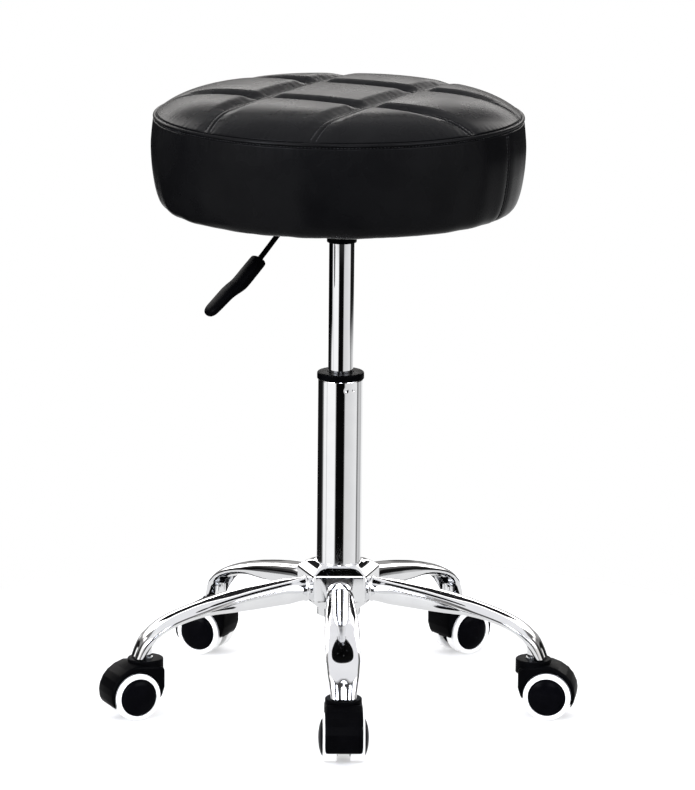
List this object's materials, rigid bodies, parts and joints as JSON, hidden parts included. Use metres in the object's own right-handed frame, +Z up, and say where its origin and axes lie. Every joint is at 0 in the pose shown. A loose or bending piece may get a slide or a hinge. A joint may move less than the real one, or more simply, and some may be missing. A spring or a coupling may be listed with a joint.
{
  "type": "rolling salon stool",
  "caption": "Round rolling salon stool with a quilted cushion on a height-adjustable gas lift and a star base of bent chrome legs on hooded twin-wheel casters.",
  "frame": {"origin": "on the floor, under the axis of the gas lift", "axes": "+Z up along the gas lift, -Y towards the end of leg_1, +X to the right of leg_1 seen from outside"},
  "size_m": [0.5348, 0.5031, 0.6928],
  "materials": {
    "leatherette": "satin",
    "foam": "matte",
    "plywood": "matte",
    "black_steel": "satin",
    "black_plastic": "satin",
    "gloss_plastic": "gloss",
    "white_tread": "satin",
    "chrome": "mirror",
    "bright_steel": "satin",
    "zinc": "satin",
    "brass": "satin"
  },
  "bodies": {
    "base": {"hub": "chrome", "leg_1": "chrome", "leg_2": "chrome", "leg_3": "chrome", "leg_4": "chrome", "leg_5": "chrome", "stand_tube": "chrome", "guide_bush": "black_plastic", "thrust_bearing": "bright_steel", "caster_1_stem": "zinc", "caster_2_stem": "zinc", "caster_3_stem": "zinc", "caster_4_stem": "zinc", "caster_5_stem": "zinc"},
    "spindle": {"piston_rod": "bright_steel", "retaining_clip": "zinc"},
    "seat": {"pressure_tube": "chrome", "mounting_plate": "black_steel", "mounting_screw_1": "zinc", "mounting_screw_2": "zinc", "mounting_screw_3": "zinc", "mounting_screw_4": "zinc", "seat_board": "plywood", "seat_foam": "foam", "seat_side_band": "leatherette", "seat_top_panel": "leatherette"},
    "lever": {"lever_rod": "black_steel", "lever_grip": "black_plastic"},
    "valve": {"valve_pin": "brass"},
    "caster_1": {"caster_1_hood": "black_plastic", "caster_1_axle": "bright_steel"},
    "caster_1_wheel_l": {"caster_1_wheel_l": "gloss_plastic", "caster_1_tread_l": "white_tread"},
    "caster_1_wheel_r": {"caster_1_wheel_r": "gloss_plastic", "caster_1_tread_r": "white_tread"},
    "caster_2": {"caster_2_hood": "black_plastic", "caster_2_axle": "bright_steel"},
    "caster_2_wheel_l": {"caster_2_wheel_l": "gloss_plastic", "caster_2_tread_l": "white_tread"},
    "caster_2_wheel_r": {"caster_2_wheel_r": "gloss_plastic", "caster_2_tread_r": "white_tread"},
    "caster_3": {"caster_3_hood": "black_plastic", "caster_3_axle": "bright_steel"},
    "caster_3_wheel_l": {"caster_3_wheel_l": "gloss_plastic", "caster_3_tread_l": "white_tread"},
    "caster_3_wheel_r": {"caster_3_wheel_r": "gloss_plastic", "caster_3_tread_r": "white_tread"},
    "caster_4": {"caster_4_hood": "black_plastic", "caster_4_axle": "bright_steel"},
    "caster_4_wheel_l": {"caster_4_wheel_l": "gloss_plastic", "caster_4_tread_l": "white_tread"},
    "caster_4_wheel_r": {"caster_4_wheel_r": "gloss_plastic", "caster_4_tread_r": "white_tread"},
    "caster_5": {"caster_5_hood": "black_plastic", "caster_5_axle": "bright_steel"},
    "caster_5_wheel_l": {"caster_5_wheel_l": "gloss_plastic", "caster_5_tread_l": "white_tread"},
    "caster_5_wheel_r": {"caster_5_wheel_r": "gloss_plastic", "caster_5_tread_r": "white_tread"}
  },
  "joints": [
    {"name": "seat_swivel", "type": "hinge", "parent": "base", "child": "spindle", "pos_m": [0, 0, 0.1], "axis": [0, 0, 1], "continuous": true},
    {"name": "seat_height", "type": "slide", "parent": "spindle", "child": "seat", "axis": [0, 0, 1], "range_m": [-0.135, 0]},
    {"name": "lever_lift", "type": "hinge", "parent": "seat", "child": "lever", "pos_m": [-0.02786, -0.01359, 0.5515], "axis": [-0.4384, 0.8988, 0], "range_deg": [0, 6], "stiffness_Nm_per_rad": 3},
    {"name": "valve_press", "type": "slide", "parent": "seat", "child": "valve", "axis": [0, 0, -1], "range_m": [0, 0.0034]},
    {"name": "caster_1_swivel", "type": "hinge", "parent": "base", "child": "caster_1", "pos_m": [0, -0.227, 0.0655], "axis": [0, 0, 1], "continuous": true},
    {"name": "caster_1_roll_l", "type": "hinge", "parent": "caster_1", "child": "caster_1_wheel_l", "pos_m": [0, -0.2445, 0.0265], "axis": [1, 0, 0], "continuous": true},
    {"name": "caster_1_roll_r", "type": "hinge", "parent": "caster_1", "child": "caster_1_wheel_r", "pos_m": [0, -0.2445, 0.0265], "axis": [1, 0, 0], "continuous": true},
    {"name": "caster_2_swivel", "type": "hinge", "parent": "base", "child": "caster_2", "pos_m": [0.21589, -0.07015, 0.0655], "axis": [0, 0, 1], "continuous": true},
    {"name": "caster_2_roll_l", "type": "hinge", "parent": "caster_2", "child": "caster_2_wheel_l", "pos_m": [0.23314, -0.07307, 0.0265], "axis": [0.1668, 0.986, 0], "continuous": true},
    {"name": "caster_2_roll_r", "type": "hinge", "parent": "caster_2", "child": "caster_2_wheel_r", "pos_m": [0.23314, -0.07307, 0.0265], "axis": [0.1668, 0.986, 0], "continuous": true},
    {"name": "caster_3_swivel", "type": "hinge", "parent": "base", "child": "caster_3", "pos_m": [0.13343, 0.18365, 0.0655], "axis": [0, 0, 1], "continuous": true},
    {"name": "caster_3_roll_l", "type": "hinge", "parent": "caster_3", "child": "caster_3_wheel_l", "pos_m": [0.14771, 0.19376, 0.0265], "axis": [-0.5779, 0.8161, 0], "continuous": true},
    {"name": "caster_3_roll_r", "type": "hinge", "parent": "caster_3", "child": "caster_3_wheel_r", "pos_m": [0.14771, 0.19376, 0.0265], "axis": [-0.5779, 0.8161, 0], "continuous": true},
    {"name": "caster_4_swivel", "type": "hinge", "parent": "base", "child": "caster_4", "pos_m": [-0.13343, 0.18365, 0.0655], "axis": [0, 0, 1], "continuous": true},
    {"name": "caster_4_roll_l", "type": "hinge", "parent": "caster_4", "child": "caster_4_wheel_l", "pos_m": [-0.14901, 0.19162, 0.0265], "axis": [-0.4555, -0.8902, 0], "continuous": true},
    {"name": "caster_4_roll_r", "type": "hinge", "parent": "caster_4", "child": "caster_4_wheel_r", "pos_m": [-0.14901, 0.19162, 0.0265], "axis": [-0.4555, -0.8902, 0], "continuous": true},
    {"name": "caster_5_swivel", "type": "hinge", "parent": "base", "child": "caster_5", "pos_m": [-0.21589, -0.07015, 0.0655], "axis": [0, 0, 1], "continuous": true},
    {"name": "caster_5_roll_l", "type": "hinge", "parent": "caster_5", "child": "caster_5_wheel_l", "pos_m": [-0.23183, -0.07738, 0.0265], "axis": [0.4131, -0.9107, 0], "continuous": true},
    {"name": "caster_5_roll_r", "type": "hinge", "parent": "caster_5", "child": "caster_5_wheel_r", "pos_m": [-0.23183, -0.07738, 0.0265], "axis": [0.4131, -0.9107, 0], "continuous": true}
  ],
  "couplings": [
    {"joint": "valve_press", "follows": "lever_lift", "m_per_rad": 0.031}
  ]
}
